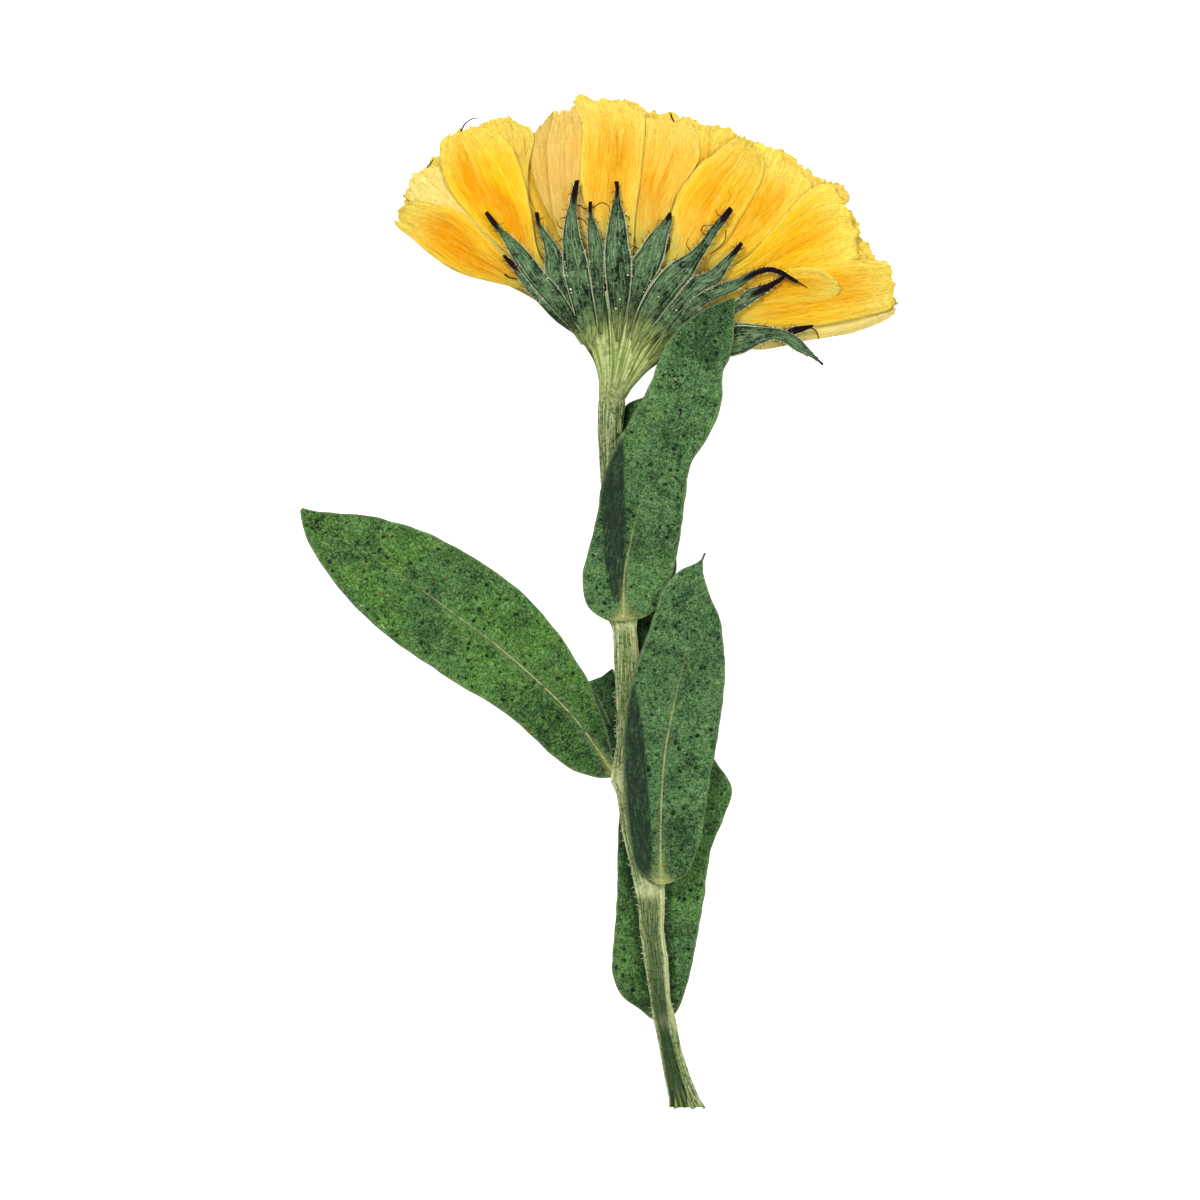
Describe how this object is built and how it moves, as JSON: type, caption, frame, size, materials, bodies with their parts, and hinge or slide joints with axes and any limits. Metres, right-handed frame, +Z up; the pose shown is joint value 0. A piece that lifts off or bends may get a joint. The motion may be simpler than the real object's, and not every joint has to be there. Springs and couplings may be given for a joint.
{
  "type": "pressed pot marigold stem",
  "caption": "Pressed and dried flowering stem of a pot marigold, lying flat: orange-yellow head seen from the side over a green cup of bracts, ribbed stem and clasping leaves.",
  "frame": {"origin": "middle of the outline seen from above, on the surface that the stem lies on", "axes": "+Y along the stem from the cut end to the flower, +X to the right seen from above, +Z up from the surface"},
  "size_m": [0.0723, 0.1216, 0.0083],
  "materials": {
    "stem": "dry, pale green, lengthwise ribs",
    "bracts": "dry, dark green with pale margins and nearly black tips",
    "petals": "papery, yellow with orange streaks and fine lengthwise veins",
    "disc": "dry, brownish orange",
    "leaf": "papery, mottled green with dark specks and a paler rib"
  },
  "bodies": {
    "root": {"stem": "stem", "involucre": "bracts", "ray_florets": "petals", "disc_florets": "disc", "leaf_left": "leaf", "leaf_upper_front": "leaf", "leaf_upper_back": "leaf", "leaf_middle": "leaf", "leaf_lower_back": "leaf"}
  },
  "joints": []
}
